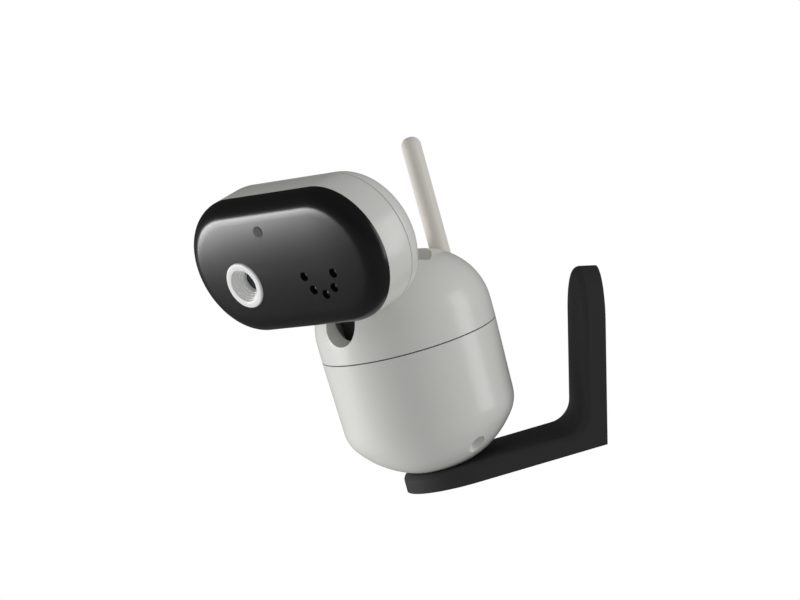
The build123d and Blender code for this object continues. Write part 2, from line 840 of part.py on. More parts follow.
with BuildPart() as tilt_motor:
    with BuildSketch(Plane.YZ.offset(cheek_outer)):
        with Locations(pinion_spot):
            Circle(tilt_motor_radius)
    extrude(amount=tilt_motor_length)
    chamfer(tilt_motor.edges(), 0.4)
    with BuildSketch(Plane.YZ.offset(neck_width / 2 - sector_width)):
        with Locations(pinion_spot):
            Circle(motor_shaft)
    extrude(amount=cheek_outer - neck_width / 2 + sector_width)

with BuildPart() as tilt_pinion:
    with BuildSketch(Plane(origin=(neck_width / 2 - sector_width, pinion_y, pinion_z),
                           x_dir=(0, -cos(radians(pinion_angle)), sin(radians(pinion_angle))),
                           z_dir=(1, 0, 0))):
        with Locations(Rotation(0, 0, 180 / tilt_pinion_teeth)):
            add(gear_face(tilt_pinion_teeth, tilt_module, gear_slack))
        Circle(motor_shaft + shaft_fit, mode=Mode.SUBTRACT)
    extrude(amount=sector_width)

with BuildPart() as sector_gear:
    # toothed quadrant on the neck, tooth on the line to the pinion
    with BuildSketch(Plane(origin=(neck_width / 2 - sector_width, -tilt_reach, tilt_height),
                           x_dir=(0, -cos(radians(pinion_angle)), sin(radians(pinion_angle))),
                           z_dir=(1, 0, 0))):
        add(gear_face(sector_teeth, tilt_module, gear_slack))
        with BuildLine():
            reach = 2 * sector_pitch
            turns = (sector_from, (sector_from + sector_to) / 2, sector_to)
            turns = [radians(turn - pinion_angle) for turn in turns]
            Polyline((0, 0), *[(reach * cos(turn), -reach * sin(turn)) for turn in turns], close=True)
        make_face(mode=Mode.INTERSECT)
        Circle(neck_hub)
        Circle(axle_radius, mode=Mode.SUBTRACT)
    extrude(amount=sector_width)

with BuildPart() as tilt_axle:
    with BuildSketch(Plane.YZ):
        with Locations(axle_spot):
            Circle(axle_radius)
    extrude(amount=cheek_outer + 0.3, both=True)

neck_clear = sector_pitch + 2
with BuildPart() as head_neck:
    # arm from the axle up to the back of the head
    with BuildSketch(Plane.YZ.offset(-neck_width / 2)):
        with Locations(axle_spot):
            Circle(neck_hub)
        with Locations((-neck_reach, neck_up)):
            Circle(neck_end)
        make_hull()
    extrude(amount=neck_width)
    with BuildSketch(Plane.YZ.offset(neck_width / 2 - sector_width)):
        with Locations(axle_spot):
            Circle(neck_clear)
    extrude(amount=sector_width, mode=Mode.SUBTRACT)
    with BuildSketch(Plane.YZ):
        with Locations(axle_spot):
            Circle(axle_radius)
    extrude(amount=20, both=True, mode=Mode.SUBTRACT)
    add(head_solid.part.moved(head_place), mode=Mode.SUBTRACT)

with BuildPart() as slot_baffle:
    # dark screen behind the slot, which hides the drive
    with BuildSketch(Plane.XZ.offset(body_radius - lining_depth - 4.5)):
        with Locations((0, (turntable_top + baffle_top) / 2)):
            Rectangle(slot_width + 1, baffle_top - turntable_top)
    extrude(amount=1)

# ---------------------------------------------------------------- head, in its own frame
bore_rear = head_depth - head_wall
with BuildPart() as head_void:
    with BuildSketch(Plane.XZ.offset(1)):
        SlotOverall(head_width - 2 * head_wall, head_height - 2 * head_wall)
    extrude(amount=-bore_rear - 1)
    fillet(head_void.faces().sort_by(Axis.Y)[-1].edges(), head_corner - head_wall)

mount_x = head_width / 2 - 19
mount_z = head_height / 2 - 13.8
camera_mounts = [(x, z) for x in (-mount_x, mount_x) for z in (-mount_z, mount_z)]
with BuildPart() as head_hollow:
    add(head_solid.part)
    add(head_void.part, mode=Mode.SUBTRACT)

with BuildPart() as head_shell:
    add(head_hollow.part)
    with BuildSketch(Plane.XZ):
        Rectangle(2 * head_width, 2 * head_height)
    extrude(amount=-parting, mode=Mode.INTERSECT)

with BuildPart() as head_back_cover:
    add(head_hollow.part)
    with BuildSketch(Plane.XZ.offset(-parting - parting_gap)):
        Rectangle(2 * head_width, 2 * head_height)
    extrude(amount=-head_depth, mode=Mode.INTERSECT)
    # lip that enters the front half
    with BuildSketch(Plane.XZ.offset(-parting + lip_depth)):
        SlotOverall(head_width - 2 * head_wall - 0.1, head_height - 2 * head_wall - 0.1)
        SlotOverall(head_width - 2 * (head_wall + lip_wall), head_height - 2 * (head_wall + lip_wall),
                    mode=Mode.SUBTRACT)
    extrude(amount=-lip_depth - 1.5)
    # posts for the camera board
    board_rear = camera_board_place + camera_board_thickness
    with BuildSketch(Plane.XZ.offset(-board_rear)):
        with Locations(*camera_mounts):
            Circle(2.4)
            Circle(screw_shank, mode=Mode.SUBTRACT)
    extrude(amount=-(bore_rear - board_rear) - 0.3)

led_spots = [(led_x + led_circle * cos(radians(a)), led_z + led_circle * sin(radians(a)))
             for a in led_angles]
with BuildPart() as front_bezel:
    with BuildSketch(Plane.XZ):
        SlotOverall(head_width, head_height)
    extrude(amount=bezel_depth)
    fillet(front_bezel.faces().sort_by(Axis.Y)[0].edges(), bezel_corner)
    with BuildSketch(Plane.XZ):
        SlotOverall(head_width - 6, head_height - 6)
    extrude(amount=bezel_depth - head_wall, mode=Mode.SUBTRACT)
    with BuildSketch(Plane.XZ):
        with Locations((lens_x, lens_z)):
            Circle(ring_radius + trim_fit)
        with Locations(*led_spots):
            Circle(led_radius)
        with Locations((window_x, window_z)):
            Circle(window_radius)
    extrude(amount=20, mode=Mode.SUBTRACT)
    # rim that centres the bezel in the shell
    with BuildSketch(Plane.XZ.offset(-2)):
        SlotOverall(head_width - 2 * head_wall - 0.1, head_height - 2 * head_wall - 0.1)
        SlotOverall(head_width - 2 * (head_wall + lip_wall), head_height - 2 * (head_wall + lip_wall),
                    mode=Mode.SUBTRACT)
    extrude(amount=2.6)

lens_plane = Plane(origin=(lens_x, 0, lens_z), x_dir=(1, 0, 0), z_dir=(0, -1, 0))
lens_axis = Axis((lens_x, 0, lens_z), (0, -1, 0))
lens_section = Plane(origin=(lens_x, 0, lens_z), x_dir=(1, 0, 0), z_dir=(0, 0, 1))
ring_front = bezel_depth + ring_proud
ring_steps = 5
with BuildPart() as lens_ring:
    with BuildSketch(lens_section):
        with BuildLine():
            bore = []
            for step in range(ring_steps):
                radius = ring_mouth + (ring_throat - ring_mouth) * step / (ring_steps - 1)
                front = ring_front - ring_depth * step / ring_steps
                bore += [(radius, -front), (radius, -front + ring_depth / ring_steps)]
            back = -ring_front + ring_depth
            Polyline(*bore, (ring_throat, back + ring_foot), (ring_radius, back + ring_foot),
                     (ring_radius, -ring_front), close=True)
        make_face()
    revolve(axis=lens_axis)
    fillet(lens_ring.edges().filter_by(GeomType.CIRCLE).sort_by(Axis.Y)[:6].sort_by(
        SortBy.RADIUS)[-1], 0.5)

barrel_front = -(ring_front - ring_depth - ring_foot)
with BuildPart() as lens_barrel:
    # black barrel with its square foot on the board
    with BuildSketch(lens_plane.offset(-camera_board_place)):
        Circle(ring_throat + 1.8)
    extrude(amount=camera_board_place - barrel_front)
    with BuildSketch(lens_plane.offset(-camera_board_place)):
        Rectangle(15, 15)
    extrude(amount=3)
    with BuildSketch(lens_plane.offset(-camera_board_place)):
        Circle(ring_throat - barrel_wall)
    extrude(amount=20, mode=Mode.SUBTRACT)
    with BuildSketch(lens_plane.offset(-camera_board_place)):
        Rectangle(7, 7)
    extrude(amount=2, mode=Mode.SUBTRACT)

glass_radius = ring_throat - barrel_wall
glass_ball = (glass_radius ** 2 + glass_sag ** 2) / 2 / glass_sag
with BuildPart() as lens_glass:
    # bulging front element, flat behind
    with BuildSketch(lens_plane.offset(-barrel_front - glass_body)):
        Circle(glass_radius)
    extrude(amount=glass_body + glass_sag)
    with Locations(Location((lens_x, barrel_front - glass_sag + glass_ball, lens_z))):
        Sphere(glass_ball, mode=Mode.INTERSECT)

with BuildPart() as camera_board:
    with BuildSketch(Plane.XZ.offset(-camera_board_place)):
        SlotOverall(head_width - 12, head_height - 12)
        with Locations(*camera_mounts):
            Circle(screw_shank, mode=Mode.SUBTRACT)
    extrude(amount=-camera_board_thickness)

with BuildPart() as image_sensor:
    with BuildSketch(lens_plane.offset(-camera_board_place)):
        Rectangle(6.4, 6.4)
    extrude(amount=1.1)

with BuildPart() as ir_leds:
    with BuildSketch(Plane.XZ.offset(-camera_board_place)):
        with Locations(*led_spots):
            Circle(led_radius - 0.15)
    extrude(amount=camera_board_place + bezel_depth - 1.4)
    fillet(ir_leds.edges().group_by(Axis.Y)[0], 1.3)

with BuildPart() as sensor_window:
    with BuildSketch(Plane.XZ.offset(bezel_depth - head_wall)):
        with Locations((window_x, window_z)):
            Circle(window_radius)
    extrude(amount=head_wall - 0.15)

with BuildPart() as light_sensor:
    with BuildSketch(Plane.XZ.offset(-camera_board_place)):
        with Locations((window_x, window_z)):
            Rectangle(3.2, 2.6)
    extrude(amount=1.2)

with BuildPart() as microphone:
    with BuildSketch(Plane.XZ.offset(-camera_board_place)):
        with Locations((-2, -15)):
            Circle(3)
    extrude(amount=2.7)

with BuildPart() as head_screws:
    with BuildSketch(Plane.XZ.offset(-camera_board_place)):
        with Locations(*camera_mounts):
            Circle(screw_cap)
    extrude(amount=screw_cap_height)
    with BuildSketch(Plane.XZ.offset(-camera_board_place)):
        with Locations(*camera_mounts):
            Circle(screw_shank)
    extrude(amount=-6)

# ---------------------------------------------------------------- set in place
for piece in (
    base_shell, seat_disc, main_board, board_screws, power_socket, shield_can, board_capacitors,
    pair_switch, pair_button, base_deck, deck_screws, thrust_washer, pan_motor, speaker
):
    piece.part.move(on_base)
for piece in (
    upper_shell, turntable, turntable_screws, pan_gear, tilt_cradle, cradle_screws, axle_bushes,
    tilt_motor, tilt_pinion, sector_gear, tilt_axle, head_neck, slot_baffle, antenna_yoke,
    antenna, antenna_pin
):
    piece.part.move(on_upper)
for piece in (
    head_shell, head_back_cover, front_bezel, lens_ring, lens_barrel, lens_glass, camera_board,
    image_sensor, ir_leds, sensor_window, light_sensor, microphone, head_screws
):
    piece.part.move(on_head)
pan_pinion.part.move(on_base)

# ---------------------------------------------------------------- labelled and written
bracket_shell.part.label = "bracket_shell"
export_step(bracket_shell.part, "parts/bracket_shell.step")
screw_caps.part.label = "screw_caps"
export_step(screw_caps.part, "parts/screw_caps.step")
arm_cover.part.label = "arm_cover"
export_step(arm_cover.part, "parts/arm_cover.step")
bracket_magnet.part.label = "bracket_magnet"
export_step(bracket_magnet.part, "parts/bracket_magnet.step")
dish_pad.part.label = "dish_pad"
export_step(dish_pad.part, "parts/dish_pad.step")
base_shell.part.label = "base_shell"
export_step(base_shell.part, "parts/base_shell.step")
seat_disc.part.label = "seat_disc"
export_step(seat_disc.part, "parts/seat_disc.step")
main_board.part.label = "main_board"
export_step(main_board.part, "parts/main_board.step")
board_screws.part.label = "board_screws"
export_step(board_screws.part, "parts/board_screws.step")
power_socket.part.label = "power_socket"
export_step(power_socket.part, "parts/power_socket.step")
shield_can.part.label = "shield_can"
export_step(shield_can.part, "parts/shield_can.step")
board_capacitors.part.label = "board_capacitors"
export_step(board_capacitors.part, "parts/board_capacitors.step")
pair_switch.part.label = "pair_switch"
export_step(pair_switch.part, "parts/pair_switch.step")
pair_button.part.label = "pair_button"
export_step(pair_button.part, "parts/pair_button.step")
base_deck.part.label = "base_deck"
export_step(base_deck.part, "parts/base_deck.step")
deck_screws.part.label = "deck_screws"
export_step(deck_screws.part, "parts/deck_screws.step")
thrust_washer.part.label = "thrust_washer"
export_step(thrust_washer.part, "parts/thrust_washer.step")
pan_motor.part.label = "pan_motor"
export_step(pan_motor.part, "parts/pan_motor.step")
speaker.part.label = "speaker"
export_step(speaker.part, "parts/speaker.step")
pan_pinion.part.label = "pan_pinion"
export_step(pan_pinion.part, "parts/pan_pinion.step")
upper_shell.part.label = "upper_shell"
export_step(upper_shell.part, "parts/upper_shell.step")
turntable.part.label = "turntable"
export_step(turntable.part, "parts/turntable.step")
turntable_screws.part.label = "turntable_screws"
export_step(turntable_screws.part, "parts/turntable_screws.step")
pan_gear.part.label = "pan_gear"
export_step(pan_gear.part, "parts/pan_gear.step")
tilt_cradle.part.label = "tilt_cradle"
export_step(tilt_cradle.part, "parts/tilt_cradle.step")
cradle_screws.part.label = "cradle_screws"
export_step(cradle_screws.part, "parts/cradle_screws.step")
axle_bushes.part.label = "axle_bushes"
export_step(axle_bushes.part, "parts/axle_bushes.step")
tilt_motor.part.label = "tilt_motor"
export_step(tilt_motor.part, "parts/tilt_motor.step")
tilt_pinion.part.label = "tilt_pinion"
export_step(tilt_pinion.part, "parts/tilt_pinion.step")
sector_gear.part.label = "sector_gear"
export_step(sector_gear.part, "parts/sector_gear.step")
tilt_axle.part.label = "tilt_axle"
export_step(tilt_axle.part, "parts/tilt_axle.step")
head_neck.part.label = "head_neck"
export_step(head_neck.part, "parts/head_neck.step")
slot_baffle.part.label = "slot_baffle"
export_step(slot_baffle.part, "parts/slot_baffle.step")
antenna_yoke.part.label = "antenna_yoke"
export_step(antenna_yoke.part, "parts/antenna_yoke.step")
antenna.part.label = "antenna"
export_step(antenna.part, "parts/antenna.step")
antenna_pin.part.label = "antenna_pin"
export_step(antenna_pin.part, "parts/antenna_pin.step")
head_shell.part.label = "head_shell"
export_step(head_shell.part, "parts/head_shell.step")
head_back_cover.part.label = "head_back_cover"
export_step(head_back_cover.part, "parts/head_back_cover.step")
front_bezel.part.label = "front_bezel"
export_step(front_bezel.part, "parts/front_bezel.step")
lens_ring.part.label = "lens_ring"
export_step(lens_ring.part, "parts/lens_ring.step")
lens_barrel.part.label = "lens_barrel"
export_step(lens_barrel.part, "parts/lens_barrel.step")
lens_glass.part.label = "lens_glass"
export_step(lens_glass.part, "parts/lens_glass.step")
camera_board.part.label = "camera_board"
export_step(camera_board.part, "parts/camera_board.step")
image_sensor.part.label = "image_sensor"
export_step(image_sensor.part, "parts/image_sensor.step")
ir_leds.part.label = "ir_leds"
export_step(ir_leds.part, "parts/ir_leds.step")
sensor_window.part.label = "sensor_window"
export_step(sensor_window.part, "parts/sensor_window.step")
light_sensor.part.label = "light_sensor"
export_step(light_sensor.part, "parts/light_sensor.step")
microphone.part.label = "microphone"
export_step(microphone.part, "parts/microphone.step")
head_screws.part.label = "head_screws"
export_step(head_screws.part, "parts/head_screws.step")
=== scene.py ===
import json
from math import atan, cos, pi, radians, sin
from typing import NamedTuple

import bmesh
import bpy
from mathutils import Matrix, Vector


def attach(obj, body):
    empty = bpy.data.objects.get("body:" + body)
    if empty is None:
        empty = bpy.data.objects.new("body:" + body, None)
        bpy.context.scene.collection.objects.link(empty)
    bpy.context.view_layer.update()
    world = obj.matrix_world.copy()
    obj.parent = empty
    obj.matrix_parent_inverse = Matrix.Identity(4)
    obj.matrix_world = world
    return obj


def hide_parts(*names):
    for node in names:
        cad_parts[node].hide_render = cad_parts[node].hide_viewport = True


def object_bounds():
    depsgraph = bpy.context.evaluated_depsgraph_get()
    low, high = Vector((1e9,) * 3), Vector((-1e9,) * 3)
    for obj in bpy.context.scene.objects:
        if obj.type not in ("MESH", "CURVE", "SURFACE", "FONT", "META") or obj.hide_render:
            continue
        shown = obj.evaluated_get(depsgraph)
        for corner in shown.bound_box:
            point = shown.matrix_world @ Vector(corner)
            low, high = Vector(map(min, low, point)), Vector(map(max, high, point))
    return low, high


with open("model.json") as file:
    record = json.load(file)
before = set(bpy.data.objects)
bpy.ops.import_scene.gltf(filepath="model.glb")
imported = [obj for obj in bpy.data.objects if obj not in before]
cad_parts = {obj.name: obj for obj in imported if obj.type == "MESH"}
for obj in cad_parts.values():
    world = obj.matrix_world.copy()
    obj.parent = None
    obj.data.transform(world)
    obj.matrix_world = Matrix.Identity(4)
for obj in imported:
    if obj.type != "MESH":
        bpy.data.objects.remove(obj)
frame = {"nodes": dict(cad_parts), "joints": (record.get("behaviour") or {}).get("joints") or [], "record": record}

bl_info = {
    "name": "Baby monitor camera",
    "version": (1, 0, 0),
    "blender": (4, 5, 0),
    "location": "View3D > Sidebar > Camera",
    "description": "Builds the visible shells, lens and stage of a pan and tilt baby monitor camera",
    "category": "Object",
}

joints = {joint["name"]: joint for joint in frame["joints"]}
cad_low, cad_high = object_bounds()

# How finely round things are cut, in steps to a full turn or along an arc
ROUND_STEPS = 96
GLASS_STEPS = 64
DRILL_STEPS = 64
LIGHT_STEPS = 32
BEZEL_ARC_STEPS = 12
BACK_ARC_STEPS = 16
INNER_ARC_STEPS = 8
RIM_ARC_STEPS = 6
EASE_STEPS = 4
RIB_STEPS = 3
BULGE_STEPS = 12
DOME_STEP = 15                  # degrees
SAME_POINT = 1e-7               # points closer than this are one
CASING_EDGE = 35.0              # degrees; steeper edges of a moulding shade as sharp
TURNED_EDGE = 50.0              # the same for a turned piece
DRILL_LENGTH = 0.06

# Head mouldings
FACE_LEAN = 3.5                 # degrees by which the crowned face leans where the rounding starts
CROWN_RINGS = (0.9, 0.8, 0.7, 0.6, 0.5, 0.4, 0.3, 0.2, 0.12)
HOLE_PLAY = 0.0001              # round the lens ring
EDGE_EASE = 0.0003              # rounding of the shells' edges
PARTING_GAP = 0.0002
LIP_STEP = 0.0012               # how much further in the inside of the cover's lip is
LIP_DEPTH = 0.003
LIP_PLAY = 0.00005
BACK_EASE = 2                   # degrees at which the back's rounding starts
BACK_RING = 0.3                 # innermost outline of the back, as a share of the flat

# Lens ring, glass and lights
RIB_EASE = 0.3                  # share of a step's width that its edge is rounded by
RIB_FOOT = 0.1                  # share of a step's depth at which its wall ends
RIB_LEAN = 0.05                 # share of a step's width by which its wall leans
RING_LAND = 0.0014              # solid part behind the last step
RING_RIM = 0.0007               # rounding of the ring's outer edge
GLASS_PLAY = 0.0006
GLASS_SAG = 0.0013
GLASS_BODY = 0.0016
LIGHT_PLAY = 0.00015
LIGHT_DOME = 0.0013
LIGHT_SUNK = 0.0014             # tip of a light behind the face
LIGHT_FOOT = 0.006              # depth at which a light stands on its board
LIGHT_COLLAR = 0.001

# Stage: levels of light are what scatters, what gloss mirrors and what is seen
FLOOR_DROP = 0.30
FLOOR_REACH = 12.0
FLOOR_LEVELS = (0.45, 0.10, 1.0)
ROOM_LEVELS = (0.44, 0.04, 1.0)


# ---------------------------------------------------------------- where the pieces go
def joint_axis(name):
    """Direction of a joint in the row frame."""
    return Vector(joints[name]["axis"]).normalized()


def upright_frame(sideways):
    """Frame that stands in the dish, with +Z up the body and +X along the given direction."""
    up = joint_axis("dish_swivel")
    across = (sideways - sideways.dot(up) * up).normalized()
    rows = Matrix((across, up.cross(across), up)).transposed()
    return Matrix.Translation(Vector(joints["dish_swivel"]["pos_m"])) @ rows.to_4x4()


def head_frame():
    """Frame of the head: its origin is where bezel and shell meet, and -Y is the way it looks."""
    sizes = bpy.context.scene.monitor_head
    upper = upright_frame(joint_axis("head_tilt"))
    place = Matrix.Translation((0, -sizes.reach, sizes.up))
    return upper @ place @ Matrix.Rotation(sizes.tilt, 4, "X")


# ---------------------------------------------------------------- sizes and colours
def length(label, meaning, default):
    """Property that holds a length in metres."""
    return bpy.props.FloatProperty(
        name=label, description=meaning, default=default, unit="LENGTH")


def face_point(label, meaning, default):
    """Property that holds a point of the head's face, sideways and upwards of its middle."""
    return bpy.props.FloatVectorProperty(
        name=label, description=meaning, default=default, size=2, unit="LENGTH")


def tone(label, meaning, default):
    """Property that holds a colour."""
    return bpy.props.FloatVectorProperty(
        name=label, description=meaning, default=default, size=3, subtype="COLOR")


def count(label, meaning, default, low, high):
    """Property that holds a number of things."""
    return bpy.props.IntProperty(
        name=label, description=meaning, default=default, min=low, max=high)


class HeadSizes(bpy.types.PropertyGroup):
    """The pill-shaped head and where it stands on the body."""
    width: length("Width", "Across the whole head", 0.104)
    height: length("Height", "Top to bottom of the head", 0.0556)
    depth: length("Depth", "White part of the head, front to back", 0.023)
    parting: length("Parting line", "Depth at which the back cover starts", 0.013)
    back_round: length("Back rounding", "Radius round the back", 0.010)
    wall: length("Wall", "Thickness of the mouldings", 0.0022)
    bezel_depth: length("Bezel depth", "How far the black front stands out", 0.008)
    bezel_round: length("Bezel rounding", "Radius round the black front", 0.0073)
    crown: length("Crown", "Rise of the black face at its middle", 0.00062)
    reach: length("Reach", "Head's front ahead of the body's axis", 0.0485)
    up: length("Rise", "Head's middle above the dish", 0.1009)
    tilt: bpy.props.FloatProperty(
        name="Tilt", description="How far the head looks down", default=radians(6.9),
        subtype="ANGLE")

    @property
    def outline(self):
        """Radius of the pill's ends and how far each stands from the middle."""
        return self.height / 2, (self.width - self.height) / 2


class LensSizes(bpy.types.PropertyGroup):
    """What shows in the black front."""
    place: face_point("Lens place", "Middle of the lens", (-0.0228, -0.0058))
    ring_radius: length("Ring radius", "Outside of the white ring", 0.0095)
    ring_proud: length("Ring proud", "Ring in front of the bezel", 0.0006)
    mouth: length("Mouth radius", "Front of the ring's bore", 0.0067)
    throat: length("Throat radius", "Back of the ring's bore", 0.0043)
    ring_depth: length("Ring depth", "Depth of the stepped bore", 0.005)
    ring_steps: count("Ring steps", "Steps in the bore", 5, 2, 12)
    light_place: face_point(
        "Lights' place", "Middle of the half circle of lights", (0.0204, -0.0052))
    light_circle: length("Lights' circle", "Radius that the lights stand on", 0.0082)
    light_radius: length("Light radius", "Radius of a hole in the bezel", 0.00195)
    lights: count("Lights", "Infrared lights in the half circle", 5, 2, 9)
    window_place: face_point(
        "Window place", "Middle of the light sensor's window", (-0.0042, 0.015))
    window_radius: length("Window radius", "Radius of the window", 0.0023)


class FinishColours(bpy.types.PropertyGroup):
    """Colours of the mouldings."""
    casing: tone("Casing", "Warm white of the body and head", (0.70, 0.69, 0.66))
    antenna: tone("Antenna", "Ivory of the antenna", (0.93, 0.84, 0.74))
    ring: tone("Lens ring", "White of the lens ring", (0.82, 0.82, 0.81))
    bezel: tone("Bezel", "Piano black of the front", (0.002, 0.0022, 0.004))
    bracket: tone("Bracket", "Satin black of the bracket", (0.004, 0.004, 0.0045))


# ---------------------------------------------------------------- shared effects as node groups
def new_group(name, inputs, outputs):
    """Empty shader group with the given sockets, and its two end nodes."""
    group = bpy.data.node_groups.new(name, "ShaderNodeTree")
    for label, kind, default in inputs:
        socket = group.interface.new_socket(label, in_out="INPUT", socket_type=kind)
        socket.default_value = default
    for label, kind in outputs:
        group.interface.new_socket(label, in_out="OUTPUT", socket_type=kind)
    return group, group.nodes.new("NodeGroupInput"), group.nodes.new("NodeGroupOutput")


def object_noise(tree, scale_socket, detail):
    """Noise on Object coordinates whose scale comes from a socket."""
    place = tree.nodes.new("ShaderNodeTexCoord")
    noise = tree.nodes.new("ShaderNodeTexNoise")
    noise.inputs["Detail"].default_value = detail
    tree.links.new(place.outputs["Object"], noise.inputs["Vector"])
    tree.links.new(scale_socket, noise.inputs["Scale"])
    return noise.outputs["Fac"]


def spread_of(tree, value, low, high):
    """Maps a noise value onto low to high, both sockets or numbers."""
    ramp = tree.nodes.new("ShaderNodeMapRange")
    tree.links.new(value, ramp.inputs["Value"])
    ramp.inputs["From Min"].default_value = 0.3
    ramp.inputs["From Max"].default_value = 0.7
    for label, end in (("To Min", low), ("To Max", high)):
        if isinstance(end, bpy.types.NodeSocket):
            tree.links.new(end, ramp.inputs[label])
        else:
            ramp.inputs[label].default_value = end
    return ramp.outputs["Result"]


def tone_drift_group():
    """Slow drift of a moulding's colour between two tones."""
    group, start, end = new_group(
        "tone_drift",
        [("Light Tone", "NodeSocketColor", (0.8, 0.8, 0.8, 1)),
         ("Dark Tone", "NodeSocketColor", (0.7, 0.7, 0.7, 1)), ("Scale", "NodeSocketFloat", 30.0)],
        [("Color", "NodeSocketColor")])
    drift = object_noise(group, start.outputs["Scale"], 3.0)
    mix = group.nodes.new("ShaderNodeMix")
    mix.data_type = "RGBA"
    group.links.new(spread_of(group, drift, 0.0, 1.0), mix.inputs["Factor"])
    group.links.new(start.outputs["Dark Tone"], mix.inputs["A"])
    group.links.new(start.outputs["Light Tone"], mix.inputs["B"])
    group.links.new(mix.outputs["Result"], end.inputs["Color"])
    return group


def handling_marks_group():
    """Faint smears of handling, which lift the roughness here and there."""
    group, start, end = new_group(
        "handling_marks",
        [("Clean", "NodeSocketFloat", 0.2), ("Smeared", "NodeSocketFloat", 0.3),
         ("Scale", "NodeSocketFloat", 60.0)],
        [("Roughness", "NodeSocketFloat")])
    smear = object_noise(group, start.outputs["Scale"], 5.0)
    group.links.new(
        spread_of(group, smear, start.outputs["Clean"], start.outputs["Smeared"]),
        end.inputs["Roughness"])
    return group


def mould_grain_group():
    """Fine spark-eroded grain of a mould, with the slow unevenness of a cooled wall under it."""
    group, start, end = new_group(
        "mould_grain",
        [("Grain Scale", "NodeSocketFloat", 4000.0), ("Sink Scale", "NodeSocketFloat", 40.0),
         ("Sink Share", "NodeSocketFloat", 0.5)],
        [("Height", "NodeSocketFloat")])
    grain = object_noise(group, start.outputs["Grain Scale"], 2.0)
    sink = object_noise(group, start.outputs["Sink Scale"], 1.0)
    mix = group.nodes.new("ShaderNodeMix")
    group.links.new(start.outputs["Sink Share"], mix.inputs["Factor"])
    group.links.new(grain, mix.inputs["A"])
    group.links.new(sink, mix.inputs["B"])
    group.links.new(mix.outputs["Result"], end.inputs["Height"])
    return group


# ---------------------------------------------------------------- materials
class Finish(NamedTuple):
    """How a surface looks: roughness from clean to smeared, and its grain in relief."""
    colour: object              # a name in FinishColours, or red, green and blue
    clean: float
    smeared: float
    grain_scale: float
    grain_depth: float
    drift: float = 0.04
    sockets: dict = {}


METAL = {"Metallic": 1.0}
BOARD = Finish((0.012, 0.09, 0.035), 0.28, 0.4, 3000.0, 2e-6, 0.1)
FINISHES = {
    "casing": Finish("casing", 0.20, 0.27, 5000.0, 1e-6, 0.012,
                     {"Coat Weight": 0.35, "Coat Roughness": 0.06, "IOR": 1.49}),
    "bezel": Finish("bezel", 0.05, 0.075, 3000.0, 2e-7, 0.1,
                    {"Coat Weight": 0.5, "Coat Roughness": 0.02, "IOR": 1.5}),
    "bracket_plastic": Finish("bracket", 0.26, 0.34, 6000.0, 4e-6, 0.10,
                              {"Specular IOR Level": 0.3, "IOR": 1.5}),
    "antenna_plastic": Finish("antenna", 0.40, 0.48, 7000.0, 3e-6, 0.02,
                              {"Subsurface Weight": 0.15, "Subsurface Scale": 0.002}),
    "ring_plastic": Finish("ring", 0.24, 0.30, 6000.0, 8e-7, 0.01, {"Coat Weight": 0.2}),
    "steel": Finish((0.55, 0.55, 0.56), 0.22, 0.34, 2500.0, 1.5e-6, 0.05, METAL),
    "magnet": Finish((0.62, 0.60, 0.55), 0.12, 0.22, 2500.0, 1.5e-6, 0.05, METAL),
    "capacitor": Finish((0.45, 0.47, 0.52), 0.3, 0.4, 2500.0, 1.5e-6, 0.05, METAL),
    "rubber": Finish((0.02, 0.02, 0.02), 0.65, 0.8, 3000.0, 1e-5, 0.15),
    "window": Finish((0.008, 0.006, 0.012), 0.04, 0.07, 3000.0, 2e-7, 0.1,
                     {"Coat Weight": 0.6, "Coat Roughness": 0.02}),
    "led_lens": Finish((0.015, 0.012, 0.03), 0.05, 0.09, 2500.0, 3e-7, 0.2,
                       {"Coat Weight": 1.0, "Coat Roughness": 0.03}),
    "dark_parts": Finish((0.012, 0.012, 0.012), 0.5, 0.6, 4000.0, 4e-6, 0.15),
    "chip": Finish((0.02, 0.02, 0.022), 0.45, 0.55, 5000.0, 3e-6, 0.1),
    "frame_plastic": Finish((0.03, 0.03, 0.032), 0.4, 0.55, 4000.0, 5e-6, 0.1),
    "gear_plastic": Finish((0.72, 0.70, 0.62), 0.35, 0.45, 5000.0, 3e-6, 0.02),
}


def shaded(colour, share):
    """A colour made lighter or darker by a share."""
    return (colour[0] * share, colour[1] * share, colour[2] * share, 1.0)


def new_surface(name):
    """New material with its node tree and its shader."""
    material = bpy.data.materials.new(name)
    material.use_nodes = True
    tree = material.node_tree
    return material, tree, tree.nodes["Principled BSDF"]


def place_group(tree, effect, values):
    """Puts a shared effect in a material with its own values."""
    node = tree.nodes.new("ShaderNodeGroup")
    node.node_tree = bpy.data.node_groups[effect]
    set_sockets(node, values)
    return node


def set_sockets(node, values):
    """Gives inputs of a node their constants."""
    for label, value in values.items():
        node.inputs[label].default_value = value


def moulding(name, finish):
    """Moulded or machined surface: drifting tone, handling marks and a grain in relief."""
    material, tree, shader = new_surface(name)
    colour = finish.colour
    if isinstance(colour, str):
        colour = getattr(bpy.context.scene.monitor_finish, colour)
    set_sockets(shader, finish.sockets)
    drift = place_group(tree, "tone_drift", {
        "Light Tone": shaded(colour, 1 + finish.drift),
        "Dark Tone": shaded(colour, 1 - finish.drift), "Scale": 35.0})
    marks = place_group(tree, "handling_marks", {
        "Clean": finish.clean, "Smeared": finish.smeared, "Scale": 70.0})
    grain = place_group(tree, "mould_grain", {
        "Grain Scale": finish.grain_scale, "Sink Scale": 45.0, "Sink Share": 0.25})
    bump = tree.nodes.new("ShaderNodeBump")
    set_sockets(bump, {"Strength": 1.0, "Distance": finish.grain_depth})
    tree.links.new(drift.outputs["Color"], shader.inputs["Base Color"])
    tree.links.new(marks.outputs["Roughness"], shader.inputs["Roughness"])
    tree.links.new(grain.outputs["Height"], bump.inputs["Height"])
    tree.links.new(bump.outputs["Normal"], shader.inputs["Normal"])
    return material


